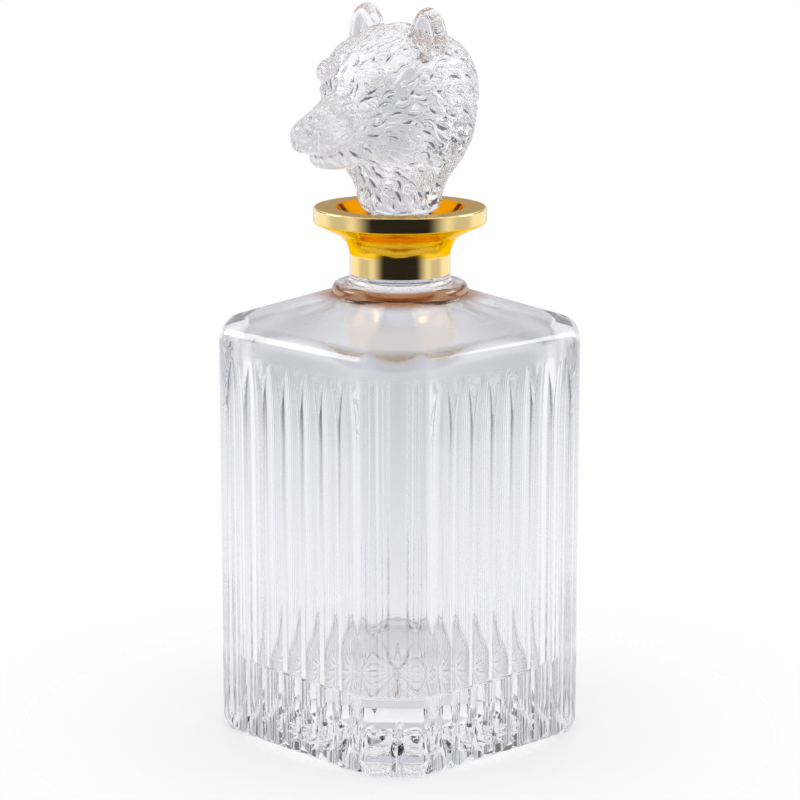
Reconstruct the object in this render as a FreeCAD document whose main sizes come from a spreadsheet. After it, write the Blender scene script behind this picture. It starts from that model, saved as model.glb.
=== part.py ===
import FreeCAD, Part
import Sketcher

import bisect
import math
import os
import re

# A square crystal decanter with a gilded lip and a stopper carved as a bear's head.
# Frame: millimetres, +Z up, the neck's axis on Z, the foot at z = 0, the bear facing -Y.

SIZES = {
    # The glass body
    "body_width": 94.0,  # across two opposite fluted faces
    "corner_cut": 13.0,  # taken off each corner of the square, along a face
    "edge_round": 5.0,  # rounding of the upright edges
    "wall_height": 133.0,  # foot to the line where a wall and the shoulder would meet
    "shoulder_peak": 17.2,  # height of the point the shoulder facets aim at, over that line
    "shoulder_round": 6.5,  # rounding between wall and shoulder
    "bevel_height": 4.0,
    "bevel_inset": 2.0,
    # The round neck, from the shoulder up
    "bead_radius": 21.6,
    "bead_rise": 4.3,  # height of the bead over the wide facets of the shoulder
    "bead_round": 2.2,
    "root_round": 2.0,  # hollow where the neck rises from the bead
    "neck_radius": 16.0,
    "clear_neck": 2.9,  # bare glass between the bead and the gold
    "gold_skirt": 5.55,  # straight gold between the bare glass and the cove
    "cove_round": 8.2,  # hollow between the neck and the underside of the lip
    "lip_slope": 5.6,  # fall of that underside, from the band in to the neck
    "lip_band": 4.8,  # height of the lip's upright band
    "lip_radius": 27.5,
    "lip_edge_round": 0.6,
    "gold_wall": 0.4,
    # The mouth and the bore
    "mouth_radius": 20.3,
    "mouth_depth": 9.0,  # lip top down to the ledge that the stopper seats on
    "ledge_width": 1.8,
    "bore_radius": 11.0,
    "throat_round": 4.0,  # where the bore opens into the hollow
    # The hollow inside
    "side_wall": 6.5,
    "cavity_round": 24.0,  # upright corners of the hollow
    "floor_height": 23.0,
    "floor_round": 1.5,
    "shoulder_wall": 5.0,  # glass over the hollow, measured upright
    # The flutes
    "flute_pitch": 8.8,
    "flute_radius": 7.5,
    "flute_depth": 1.6,
    "flute_margin": 8.0,  # top of the wall down to the tip of a flute
    "flute_runout": 24.0,  # height over which a flute comes out to the face
    # The star cut under the base
    "star_radius": 35.0,
    "star_hub": 7.0,
    "star_depth": 3.2,
    # The stopper's hidden half
    "fit_gap": 0.05,
    "sleeve_wall": 1.4,
    "sleeve_length": 14.0,
    "sleeve_flange": 1.2,
    "rib_height": 0.4,
    "collar_step": 0.9,  # how far the peg's collar stands out over the sleeve
    "peg_tip": 2.6,  # height of the bead that keeps the sleeve on
    "peg_tip_round": 1.0,
    "spigot_radius": 6.0,
    "spigot_length": 11.0,
    # The bear's head
    "head_radius": 25.0,
    "head_sink": 1.5,  # how far its foot lies below the top of the lip
    # The fur, ground in curls with the edge of a small wheel that leans over
    "wheel_radius": 6.0,
    "wheel_edge": 1.1,  # rounding of that edge
    "curl_depth": 0.85,
    "curl_pitch": 7.2,  # along a row
    # Every cutter runs past the glass by this much
    "overrun": 5.0,
}
COUNTS = {"flute_count": 7, "star_count": 16, "rib_count": 4, "curl_rows": 13}
SHARES = {"hub_share": 1.25, "fillet_share": 0.9}
DEGREES = {"wheel_lean": 30.0, "curl_sway": 22.0}
CELLS = {**SIZES, **COUNTS, **SHARES, **DEGREES}
CELL = re.compile(r"\b(" + "|".join(CELLS) + r")\b")
TOUCH = FreeCAD.Base.Precision.approximation()
UPRIGHT = FreeCAD.Vector(0, 0, 1)

# Places that several pieces share, written in the sheet's cells, from the foot up
HALF_WIDTH = "(body_width / 2)"
HALF_ACROSS_CORNERS = "((body_width - corner_cut) / sqrt(2))"
FLUTE_TOP = "(wall_height - flute_margin)"
BEAD_TOP = "(wall_height + shoulder_peak * (1 - 2 * bead_radius / body_width) + bead_rise)"
GOLD_FOOT = f"({BEAD_TOP} + clear_neck)"
COVE_TURN = "((90 deg - atan(lip_slope / (lip_radius - neck_radius))) / 2)"
COVE_CORNER = f"({GOLD_FOOT} + gold_skirt + cove_round * tan({COVE_TURN}))"
UNDER_BAND = f"({COVE_CORNER} + lip_slope)"
LIP_TOP = f"({UNDER_BAND} + lip_band)"
LEDGE = f"({LIP_TOP} - mouth_depth)"
HEAD_FOOT = f"({LIP_TOP} - head_sink)"
PEG_RADIUS = "(bore_radius - sleeve_wall - 2 * fit_gap)"
NO_INSET = "0"

# One rib of the sleeve: root, crest, crest and root, along its own pitch
RIB_SHARES = (0.15, 0.35, 0.65, 0.85)

# The head, in shares of its radius, over its foot. Half of the skull's profile: radius, height.
SKULL_SHARES = [
    (0.42, 0.0),
    (0.52, 0.11),
    (0.555, 0.265),
    (0.63, 0.445),
    (0.805, 0.70),
    (0.92, 0.955),
    (0.97, 1.24),
    (0.992, 1.456),
    (0.93, 1.86),
    (0.80, 2.07),
    (0.585, 2.22),
    (0.0, 2.386),
]
# Oval sections of the muzzle and of the jaw, back to front:
# distance forward, height, half width, half height
MUZZLE_SHARES = [
    (0.40, 1.24, 0.62, 0.52),
    (0.96, 1.18, 0.52, 0.45),
    (1.24, 1.12, 0.42, 0.32),
    (1.48, 1.08, 0.345, 0.24),
    (1.62, 1.08, 0.26, 0.165),
]
JAW_SHARES = [
    (0.50, 0.82, 0.46, 0.22),
    (1.04, 0.77, 0.34, 0.135),
    (1.28, 0.765, 0.27, 0.115),
    (1.36, 0.77, 0.20, 0.08),
]
# Rounded forms: centre sideways, forward, up, then the half sizes the same way
NOSE_SHARES = (0.0, 1.60, 1.13, 0.20, 0.13, 0.13)
CHIN_SHARES = (0.0, 1.26, 0.765, 0.26, 0.15, 0.12)
PAIRED_SHARES = {
    "ear": (0.56, 0.04, 2.16, 0.30, 0.17, 0.44),
    "brow": (0.34, 0.70, 1.78, 0.32, 0.30, 0.20),
    "eye": (0.34, 0.96, 1.58, 0.09, 0.07, 0.07),
    "flew": (0.16, 1.42, 0.98, 0.19, 0.22, 0.15),
}
EAR_HOLLOW_SHARES = (0.58, 0.22, 2.20, 0.18, 0.15, 0.31)
CHEEK_SHARES = (0.46, 0.50, 1.06, 0.42, 0.46, 0.42)
# Curls on a cheek: degrees round from straight ahead, degrees up
CHEEK_CURLS = ((35, -40), (75, -40), (20, -5), (50, -5), (80, -5), (35, 30), (70, 30))
# Degrees from +X round to the way the face looks
FACE_TURN = -90
# The first and last row of curls, along the skull's profile
FUR_SHARES = (0.06, 0.9)
# Degrees to either side of the face that stay bare of curls: below, between and over these heights
BARE_HEIGHT_SHARES = (0.55, 1.0, 1.8, 2.2)
BARE_DEGREES = (0, 62, 56, 30, 0)
# How steeply the fur falls, back over the head, and more so on the neck, the further below its top
FUR_FALL, NECK_FALL = 0.4, 5.0
NECK_TOP_SHARE = 0.75
# Steps of the wave by which the curls sway, from curl to curl and from row to row
SWAY_STEPS = (1.7, 2.3)
# How much of the wheel's rim is used, in degrees
WHEEL_ARC = 110
# How far round an ear's middle the curls keep off
EAR_CLEARANCE_SHARE = 0.36

doc = FreeCAD.newDocument("Decanter")
sheet = doc.addObject("Spreadsheet::Sheet", "Sizes")
for row, (cell, value) in enumerate(CELLS.items(), start=1):
    sheet.set(f"A{row}", cell)
    sheet.set(f"B{row}", str(value))
    sheet.setAlias(f"B{row}", cell)
doc.recompute()


def size(cell):
    """The number in one cell of the sheet."""
    return float(sheet.get(cell))


def bind(item, path, formula):
    """Ties a property to the sheet. The formula names cells."""
    item.setExpression(path, CELL.sub(r"Sizes.\1", formula))


def new_body(name):
    body = doc.addObject("PartDesign::Body", name)
    body.Label = name
    return body


def origin(body, role):
    return next(datum for datum in body.Origin.OriginFeatures if datum.Role == role)


def hold(sketch, direction, corner, formula):
    """Fixes one coordinate of a corner, on the sketch's axis where it is zero."""
    if formula == "0":
        axis = {"DistanceX": -2, "DistanceY": -1}[direction]
        sketch.addConstraint(Sketcher.Constraint("PointOnObject", corner, 1, axis))
        return
    index = sketch.addConstraint(Sketcher.Constraint(direction, -1, 1, corner, 1, size("body_width")))
    bind(sketch, f"Constraints[{index}]", formula)


def outline(body, name, plane, corners):
    """A closed sketch with straight sides through corners given as pairs of formulas."""
    sketch = body.newObject("Sketcher::SketchObject", name)
    sketch.AttachmentSupport = (origin(body, plane), [""])
    sketch.MapMode = "FlatFace"
    count = len(corners)
    reach = size("body_width")
    turns = [2 * math.pi * number / count for number in range(count)]
    ring = [FreeCAD.Vector(reach * math.cos(turn), reach * math.sin(turn), 0) for turn in turns]
    for number in range(count):
        sketch.addGeometry(Part.LineSegment(ring[number], ring[(number + 1) % count]))
    for number, (across, along) in enumerate(corners):
        sketch.addConstraint(Sketcher.Constraint("Coincident", number, 2, (number + 1) % count, 1))
        hold(sketch, "DistanceX", number, across)
        hold(sketch, "DistanceY", number, along)
    return sketch


def pad(body, name, sketch, length, both_ways=False):
    block = body.newObject("PartDesign::Pad", name)
    block.Profile = sketch
    block.Midplane = both_ways
    bind(block, "Length", length)
    doc.recompute()
    return block


def revolve(body, name, corners):
    """Turns an upright outline about the neck's axis."""
    sketch = outline(body, name + "_outline", "XZ_Plane", corners)
    turning = body.newObject("PartDesign::Revolution", name)
    turning.Profile = sketch
    turning.ReferenceAxis = (sketch, ["V_Axis"])
    turning.Angle = 360
    doc.recompute()
    return turning, sketch


def fillet(body, name, base, radius, chosen, *walls):
    """Rounds the edges of base whose end points pass chosen, within what the walls leave room for."""
    edges = [
        f"Edge{number}"
        for number, edge in enumerate(base.Shape.Edges, start=1)
        if chosen([vertex.Point for vertex in edge.Vertexes])
    ]
    rounding = body.newObject("PartDesign::Fillet", name)
    rounding.Base = (base, edges)
    limits = "; ".join([radius] + [f"fillet_share * ({wall})" for wall in walls])
    bind(rounding, "Radius", f"min({limits})")
    doc.recompute()
    return rounding


def at_corners(sketch, plane, *numbers):
    """A test for edges that run straight off, or all round, the numbered corners of a sketch."""
    spots = [sketch.Geometry[number].StartPoint for number in numbers or range(sketch.GeometryCount)]
    upright = plane == "XZ_Plane"

    def chosen(ends):
        flat = [(end.x, end.z if upright else end.y) for end in ends]
        return any(all(math.dist(end, (spot.x, spot.y)) < TOUCH for end in flat) for spot in spots)

    return chosen


def boolean(kind, name, *pieces):
    """A Part boolean of document objects. The first piece is the base of a cut."""
    result = doc.addObject(f"Part::{kind}", name)
    result.Label = name
    if kind in ("Cut", "Fuse"):
        result.Base, result.Tool = pieces
    else:
        result.Shapes = list(pieces)
    result.Refine = kind != "Fuse"
    doc.recompute()
    return result


# The glass bottle


def wall_pair(name, half, degrees):
    """Two opposite walls with the shoulder facets over them, running on past the body's corners."""
    body = new_body(name)
    corners = [
        (f"{half} - bevel_inset", "0"),
        (half, "bevel_height"),
        (half, "wall_height"),
        ("0", "wall_height + shoulder_peak"),
        (f"-{half}", "wall_height"),
        (f"-{half}", "bevel_height"),
        (f"bevel_inset - {half}", "0"),
    ]
    sketch = outline(body, name + "_outline", "XZ_Plane", corners)
    walls = pad(body, name + "_walls", sketch, "2 * body_width", both_ways=True)
    fillet(body, name + "_rounding", walls, "shoulder_round", at_corners(sketch, "XZ_Plane", 2, 4))
    body.Placement.Rotation = FreeCAD.Rotation(UPRIGHT, degrees)
    return body


def corner_post():
    """The body's plan, a square with cut and rounded corners, as an upright post."""
    body = new_body("corner_post")
    short = "(body_width / 2 - corner_cut)"
    quarter = [(HALF_WIDTH, short), (short, HALF_WIDTH)]
    corners = (
        quarter
        + [(f"-{across}", along) for across, along in reversed(quarter)]
        + [(f"-{across}", f"-{along}") for across, along in quarter]
        + [(across, f"-{along}") for across, along in reversed(quarter)]
    )
    sketch = outline(body, "post_plan", "XY_Plane", corners)
    post = pad(body, "post", sketch, "wall_height + shoulder_peak")
    fillet(body, "post_rounding", post, "edge_round", at_corners(sketch, "XY_Plane"), "corner_cut")
    return body


def bottle_neck():
    """The round neck, up to the gold, and the bead at its root."""
    body = new_body("bottle_neck")
    corners = [
        ("0", "wall_height"),
        ("bead_radius", "wall_height"),
        ("bead_radius", BEAD_TOP),
        ("neck_radius", BEAD_TOP),
        ("neck_radius", GOLD_FOOT),
        ("0", GOLD_FOOT),
    ]
    turning, sketch = revolve(body, "neck_turning", corners)
    step = "(bead_radius - neck_radius) / 2"
    rim, root = at_corners(sketch, "XZ_Plane", 2), at_corners(sketch, "XZ_Plane", 3)
    bead = fillet(body, "bead_rounding", turning, "bead_round", rim, step, "bead_rise")
    fillet(body, "root_rounding", bead, "root_round", root, step, "clear_neck")
    return body


def lip(name, inset):
    """The flared lip with its mouth, all its outside drawn in by an inset."""
    body = new_body(name)
    corners = [
        ("0", GOLD_FOOT),
        (f"neck_radius - {inset}", GOLD_FOOT),
        (f"neck_radius - {inset}", f"{COVE_CORNER} + {inset}"),
        (f"lip_radius - {inset}", f"{UNDER_BAND} + {inset}"),
        (f"lip_radius - {inset}", f"{LIP_TOP} - {inset}"),
        (f"mouth_radius + {inset}", f"{LIP_TOP} - {inset}"),
        (f"bore_radius + ledge_width + {inset}", LEDGE),
        ("0", LEDGE),
    ]
    turning, sketch = revolve(body, name + "_turning", corners)
    cove = fillet(body, name + "_cove", turning, f"cove_round + {inset}", at_corners(sketch, "XZ_Plane", 2))
    if inset == NO_INSET:
        edges = at_corners(sketch, "XZ_Plane", 3, 4, 5)
        fillet(body, name + "_edges", cove, "lip_edge_round", edges, "lip_band / 2")
    return body


def cavity():
    """The hollow of the bottle and the bore of its neck."""
    hollow = new_body("hollow_plan")
    half = "(body_width / 2 - side_wall)"
    square = [(half, half), (f"-{half}", half), (f"-{half}", f"-{half}"), (half, f"-{half}")]
    sketch = outline(hollow, "hollow_square", "XY_Plane", square)
    bind(sketch, "AttachmentOffset.Base.z", "floor_height")
    block = pad(hollow, "hollow_block", sketch, f"{LIP_TOP} - floor_height")
    upright = fillet(hollow, "hollow_corners", block, "cavity_round", at_corners(sketch, "XY_Plane"), half)
    floor = size("floor_height")

    def on_floor(ends):
        return all(abs(end.z - floor) < TOUCH for end in ends)

    fillet(hollow, "hollow_floor", upright, "floor_round", on_floor, "cavity_round")
    ceiling = new_body("hollow_ceiling")
    peak = "wall_height + shoulder_peak - shoulder_wall"
    corners = [
        ("0", "floor_height - overrun"),
        ("body_width", "floor_height - overrun"),
        ("body_width", f"{peak} - 2 * shoulder_peak"),
        ("bore_radius", f"{peak} - 2 * shoulder_peak * bore_radius / body_width"),
        ("bore_radius", f"{LEDGE} + overrun"),
        ("0", f"{LEDGE} + overrun"),
    ]
    turning, sketch = revolve(ceiling, "ceiling_turning", corners)
    fillet(ceiling, "throat", turning, "throat_round", at_corners(sketch, "XZ_Plane", 3))
    return boolean("MultiCommon", "cavity", hollow, ceiling)


def on_every_flute(body, original):
    """Repeats one cutter along a wide face and round the four faces."""
    pattern = body.newObject("PartDesign::MultiTransform", body.Name + "_pattern")
    pattern.Originals = [original]
    rack = body.newObject("PartDesign::LinearPattern", body.Name + "_rack")
    rack.Direction = (origin(body, "X_Axis"), [""])
    bind(rack, "Length", "flute_pitch * (flute_count - 1)")
    bind(rack, "Occurrences", "flute_count")
    faces = body.newObject("PartDesign::PolarPattern", body.Name + "_faces")
    faces.Axis = (origin(body, "Z_Axis"), [""])
    faces.Angle = 360
    faces.Occurrences = 4
    pattern.Transformations = [rack, faces]
    body.Tip = pattern
    doc.recompute()
    return body


def flute_cutters():
    """What a grinding wheel takes out along every flute: a straight run, and a run out of the face."""
    first = "-flute_pitch * (flute_count - 1) / 2"
    axis = "-(body_width / 2 + flute_radius - flute_depth)"
    sweep = "((flute_runout ^ 2 + flute_depth ^ 2) / (2 * flute_depth) - flute_radius)"
    runs = new_body("flute_runs")
    run = runs.newObject("PartDesign::AdditiveCylinder", "flute_run")
    bind(run, "Radius", "flute_radius")
    bind(run, "Height", f"{FLUTE_TOP} - flute_runout + overrun")
    bind(run, "Placement.Base.x", first)
    bind(run, "Placement.Base.y", axis)
    bind(run, "Placement.Base.z", "-overrun")
    doc.recompute()
    ends = new_body("flute_ends")
    end = ends.newObject("PartDesign::AdditiveTorus", "flute_end")
    bind(end, "Radius1", sweep)
    bind(end, "Radius2", "flute_radius")
    bind(end, "Angle3", f"asin(2 * flute_runout / {sweep})")
    end.Placement.Rotation = FreeCAD.Rotation(FreeCAD.Vector(0, 1, 0), UPRIGHT, FreeCAD.Vector(1, 0, 0))
    bind(end, "Placement.Base.x", first)
    bind(end, "Placement.Base.y", f"{axis} - {sweep}")
    bind(end, "Placement.Base.z", f"{FLUTE_TOP} - flute_runout")
    doc.recompute()
    return boolean("MultiFuse", "flute_cutters", on_every_flute(runs, run), on_every_flute(ends, end))


def star_cutters():
    """Rays ground into the underside of the base, deepest at the hub."""
    body = new_body("star_cutters")
    ray = body.newObject("PartDesign::AdditiveCone", "star_ray")
    bind(ray, "Radius1", "star_depth")
    ray.Radius2 = 0
    bind(ray, "Height", "star_radius - star_hub")
    ray.Placement.Rotation = FreeCAD.Rotation(FreeCAD.Vector(0, 1, 0), 90)
    bind(ray, "Placement.Base.x", "star_hub")
    doc.recompute()
    rays = body.newObject("PartDesign::PolarPattern", "star_rays")
    rays.Originals = [ray]
    rays.Axis = (origin(body, "Z_Axis"), [""])
    rays.Angle = 360
    bind(rays, "Occurrences", "star_count")
    body.Tip = rays
    doc.recompute()
    hub = body.newObject("PartDesign::AdditiveEllipsoid", "star_middle")
    bind(hub, "Radius1", "star_depth * hub_share")
    bind(hub, "Radius2", "star_hub * hub_share")
    bind(hub, "Radius3", "star_hub * hub_share")
    body.Tip = hub
    doc.recompute()
    return body


def glass_bottle(glass_lip):
    walls = [
        wall_pair("front_back_walls", HALF_WIDTH, 90),
        wall_pair("side_walls", HALF_WIDTH, 0),
        wall_pair("corner_walls", HALF_ACROSS_CORNERS, 45),
        wall_pair("other_corner_walls", HALF_ACROSS_CORNERS, 135),
    ]
    block = boolean("MultiCommon", "bottle_block", corner_post(), *walls)
    outside = boolean("MultiFuse", "bottle_outside", block, bottle_neck(), glass_lip)
    fluted = boolean("Cut", "fluted_bottle", outside, flute_cutters())
    starred = boolean("Cut", "starred_bottle", fluted, star_cutters())
    return boolean("Cut", "glass_bottle", starred, cavity())


# The stopper's hidden half


def stopper_peg():
    """The peg: a spigot for the head, a collar, a stem for the sleeve and a bead at its tip."""
    body = new_body("stopper_peg")
    tip_top = f"({LEDGE} - sleeve_length - fit_gap)"
    bead = "bore_radius - sleeve_wall / 2"
    collar = f"{PEG_RADIUS} + collar_step"
    corners = [
        ("0", f"{tip_top} - peg_tip"),
        (bead, f"{tip_top} - peg_tip"),
        (bead, tip_top),
        (PEG_RADIUS, tip_top),
        (PEG_RADIUS, f"{LEDGE} + sleeve_flange"),
        (collar, f"{LEDGE} + sleeve_flange"),
        (collar, HEAD_FOOT),
        ("spigot_radius", HEAD_FOOT),
        ("spigot_radius", f"{HEAD_FOOT} + spigot_length"),
        ("0", f"{HEAD_FOOT} + spigot_length"),
    ]
    turning, sketch = revolve(body, "peg_turning", corners)
    fillet(body, "peg_tip_rounding", turning, "peg_tip_round", at_corners(sketch, "XZ_Plane", 1), "peg_tip")
    return body


def seal_sleeve():
    """A ribbed sleeve with a flange that seats on the ledge in the mouth."""
    body = new_body("seal_sleeve")
    inner = f"{PEG_RADIUS} + fit_gap"
    crest = "bore_radius - fit_gap"
    root = f"{crest} - rib_height"
    flange = "bore_radius + ledge_width / 2"
    foot = f"({LEDGE} - sleeve_length)"
    corners = [(inner, f"{LEDGE} + sleeve_flange"), (inner, foot), (root, foot)]
    for rib in range(COUNTS["rib_count"]):
        for share, radius in zip(RIB_SHARES, (root, crest, crest, root)):
            corners.append((radius, f"{foot} + sleeve_length * ({rib} + {share}) / rib_count"))
    corners += [(root, LEDGE), (flange, LEDGE), (flange, f"{LEDGE} + sleeve_flange")]
    revolve(body, "sleeve_turning", corners)
    return body


# The bear's head


def skull_curve():
    """Half of the profile of skull and neck, from the foot to the crown."""
    radius = size("head_radius")
    curve = Part.BSplineCurve()
    curve.interpolate([FreeCAD.Vector(across * radius, 0, up * radius) for across, up in SKULL_SHARES])
    return curve


def skull(hollows):
    """Skull and neck, turned from one smooth curve, with the hollows and the fur cut into them."""
    curve = skull_curve()
    foot = FreeCAD.Vector(0, 0, 0)
    sides = [
        curve.toShape(),
        Part.makeLine(curve.EndPoint, foot),
        Part.makeLine(foot, curve.StartPoint),
    ]
    bare = Part.Face(Part.Wire(sides)).revolve(foot, UPRIGHT, 360)
    form = doc.addObject("Part::Feature", "skull")
    wheels = [wheel(*curl) for curl in skull_curls(curve)]
    form.Shape = bare.cut([hollow.Shape for hollow in hollows] + wheels)
    return form


def cheek(name, side):
    """A round cheek with the fur ground into it."""
    bare = rounded_form(name, CHEEK_SHARES, side)
    doc.recompute()
    form = doc.addObject("Part::Feature", name + "_fur")
    form.Shape = bare.Shape.cut([wheel(*curl) for curl in cheek_curls(side)])
    return form


def skull_curls(curve):
    """Where the skull's curls lie: place, way out, way along, and the side to which each one bends."""
    rows = int(size("curl_rows"))
    for row in range(rows):
        share = FUR_SHARES[0] + (FUR_SHARES[1] - FUR_SHARES[0]) * row / (rows - 1)
        at = curve.parameterAtDistance(curve.length() * share, curve.FirstParameter)
        place, along = curve.value(at), curve.tangent(at)[0]
        up = place.z / size("head_radius")
        bare = BARE_DEGREES[bisect.bisect(BARE_HEIGHT_SHARES, up)]
        count = int(2 * math.pi * place.x / size("curl_pitch"))
        for number in range(count):
            turn = 360 * (number + row % 2 / 2) / count
            spin = FreeCAD.Rotation(UPRIGHT, FACE_TURN + turn)
            spot = spin.multVec(place)
            if min(turn, 360 - turn) < bare or near_ear(spot):
                continue
            out = spin.multVec(FreeCAD.Vector(along.z, 0, -along.x))
            wave = math.sin(SWAY_STEPS[0] * number + SWAY_STEPS[1] * row)
            sway = FreeCAD.Rotation(out, size("curl_sway") * wave)
            yield spot, out, sway.multVec(fur_way(out, up)), 1 if (number + row) % 2 else -1


def cheek_curls(side):
    """The same for the curls on one cheek."""
    radius = size("head_radius")
    aside, ahead, up, half_width, half_depth, half_height = (share * radius for share in CHEEK_SHARES)
    for number, (turn, rise) in enumerate(CHEEK_CURLS):
        level = math.cos(math.radians(rise))
        across, forward = level * math.sin(math.radians(turn)), level * math.cos(math.radians(turn))
        over = math.sin(math.radians(rise))
        reach = FreeCAD.Vector(side * across * half_width, -forward * half_depth, over * half_height)
        out = FreeCAD.Vector(side * across / half_width, -forward / half_depth, over / half_height)
        spot = FreeCAD.Vector(side * aside, -ahead, up) + reach
        yield spot, out, fur_way(out.normalize(), spot.z / radius), 1 if number % 2 else -1


def near_ear(spot):
    """Whether an ear covers a spot on the skull."""
    aside, ahead, up = (share * size("head_radius") for share in PAIRED_SHARES["ear"][:3])
    ear = FreeCAD.Vector(math.copysign(aside, spot.x), -ahead, up)
    return spot.distanceToPoint(ear) < EAR_CLEARANCE_SHARE * size("head_radius")


def fur_way(out, up):
    """The way the fur lies on a spot that faces out: back from the face, and down the neck."""
    way = FreeCAD.Vector(0, 1, -FUR_FALL - NECK_FALL * max(NECK_TOP_SHARE - up, 0))
    return (way - out * way.dot(out)).normalize()


def wheel(spot, out, way, bend):
    """The wheel for one curl. Its edge dips into the glass along the way, and its lean bends the curl."""
    radius, edge = size("wheel_radius"), size("wheel_edge")
    lean = math.radians(size("wheel_lean"))
    aside = out.cross(way) * bend
    inward = aside * math.cos(lean) - out * math.sin(lean)
    axle = out * math.cos(lean) + aside * math.sin(lean)
    middle = spot + out * (edge - size("curl_depth")) - inward * radius
    rim = Part.makeTorus(radius, edge, FreeCAD.Vector(), UPRIGHT, 0, 360, WHEEL_ARC)
    rim.Placement = FreeCAD.Placement(middle, FreeCAD.Rotation(inward, axle.cross(inward), axle))
    rim.rotate(middle, axle, -WHEEL_ARC / 2)
    return rim


def oval_loft(name, sections):
    """A smooth form through upright ovals that face forward."""
    radius = size("head_radius")
    wires = []
    for ahead, up, half_width, half_height in sections:
        middle = FreeCAD.Vector(0, -ahead * radius, up * radius)
        side = middle + FreeCAD.Vector(half_width * radius, 0, 0)
        top = middle + FreeCAD.Vector(0, 0, half_height * radius)
        longer, shorter = (side, top) if half_width > half_height else (top, side)
        wires.append(Part.Wire(Part.Ellipse(longer, shorter, middle).toShape()))
    form = doc.addObject("Part::Feature", name)
    form.Shape = Part.makeLoft(wires, True)
    return form


def rounded_form(name, shares, side=1):
    """An ellipsoid placed on the head, mirrored to one side."""
    aside, ahead, up, half_width, half_depth, half_height = shares
    form = doc.addObject("Part::Ellipsoid", name)
    bind(form, "Radius1", f"head_radius * {half_height}")
    bind(form, "Radius2", f"head_radius * {half_width}")
    bind(form, "Radius3", f"head_radius * {half_depth}")
    bind(form, "Placement.Base.x", f"head_radius * {side * aside}")
    bind(form, "Placement.Base.y", f"head_radius * {-ahead}")
    bind(form, "Placement.Base.z", f"head_radius * {up}")
    return form


def bear_head():
    sides = {"left": -1, "right": 1}
    forms = [oval_loft("muzzle", MUZZLE_SHARES), oval_loft("jaw", JAW_SHARES)]
    forms += [rounded_form("nose", NOSE_SHARES), rounded_form("chin", CHIN_SHARES)]
    for name, shares in PAIRED_SHARES.items():
        forms += [rounded_form(f"{which}_{name}", shares, side) for which, side in sides.items()]
    forms += [cheek(f"{which}_cheek", side) for which, side in sides.items()]
    hollows = [
        rounded_form(f"{which}_ear_hollow", EAR_HOLLOW_SHARES, side) for which, side in sides.items()
    ]
    socket = doc.addObject("Part::Cylinder", "head_socket")
    bind(socket, "Radius", "spigot_radius + fit_gap")
    bind(socket, "Height", "spigot_length + fit_gap")
    face = forms[0]
    for form in forms[1:]:
        face = boolean("Fuse", f"face_with_{form.Name}", face, form)
    face = boolean("Cut", "bear_face", face, boolean("MultiFuse", "ear_hollows", *hollows))
    head = boolean("Fuse", "bear_head", skull([socket, *hollows]), face)
    bind(head, "Placement.Base.z", HEAD_FOOT)
    doc.recompute()
    return head


def checked(pieces):
    """Stops with the names of objects that failed, before anything is written."""
    failed = [item.Name for item in doc.Objects if {"Invalid", "Error"} & set(item.State)]
    failed += [piece.Label for piece in pieces if piece.Shape.isNull() or not piece.Shape.isValid()]
    if failed:
        raise RuntimeError("failed: " + ", ".join(failed))
    return pieces


glass_lip = lip("glass_lip", "gold_wall")
bottle = glass_bottle(glass_lip)
collar = boolean("Cut", "gold_collar", lip("gilded_lip", NO_INSET), glass_lip)
pieces = checked([bottle, collar, bear_head(), stopper_peg(), seal_sleeve()])

os.makedirs("parts", exist_ok=True)
for piece in pieces:
    piece.Shape.exportStep(f"parts/{piece.Label}.step")
    print(piece.Label, len(piece.Shape.Solids), "solid", round(piece.Shape.Volume), "mm3")
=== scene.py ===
import math
import random

import bmesh
import bpy
import numpy as np
from mathutils import Matrix, Vector, kdtree, noise


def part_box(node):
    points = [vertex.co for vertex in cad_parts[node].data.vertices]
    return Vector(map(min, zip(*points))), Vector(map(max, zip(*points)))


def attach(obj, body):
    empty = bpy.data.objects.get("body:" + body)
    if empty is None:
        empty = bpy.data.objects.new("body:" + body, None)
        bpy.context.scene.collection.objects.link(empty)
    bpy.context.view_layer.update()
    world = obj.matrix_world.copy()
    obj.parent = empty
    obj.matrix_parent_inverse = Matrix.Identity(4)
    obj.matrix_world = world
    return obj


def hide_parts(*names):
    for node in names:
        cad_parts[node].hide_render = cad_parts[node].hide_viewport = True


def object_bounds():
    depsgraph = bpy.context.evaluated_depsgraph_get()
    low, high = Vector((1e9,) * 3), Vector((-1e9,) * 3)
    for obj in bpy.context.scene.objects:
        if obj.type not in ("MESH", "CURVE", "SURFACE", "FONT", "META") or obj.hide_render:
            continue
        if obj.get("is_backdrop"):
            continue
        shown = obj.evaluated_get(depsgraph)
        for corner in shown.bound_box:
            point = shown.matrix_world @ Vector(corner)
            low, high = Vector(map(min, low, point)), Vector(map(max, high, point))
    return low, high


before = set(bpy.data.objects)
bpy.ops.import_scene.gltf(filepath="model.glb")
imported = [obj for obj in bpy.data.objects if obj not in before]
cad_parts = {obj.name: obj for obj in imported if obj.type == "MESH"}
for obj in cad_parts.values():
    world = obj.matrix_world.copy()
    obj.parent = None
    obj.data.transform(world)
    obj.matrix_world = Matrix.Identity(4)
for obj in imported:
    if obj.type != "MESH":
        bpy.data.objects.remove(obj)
CAD_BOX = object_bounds()

# A crystal decanter with a gilded lip and a stopper carved as a bear's head.
# Metres, +Z up, the foot at z = 0, the bear facing -Y.

MM = 0.001
UP = Vector((0, 0, 1))

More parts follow.
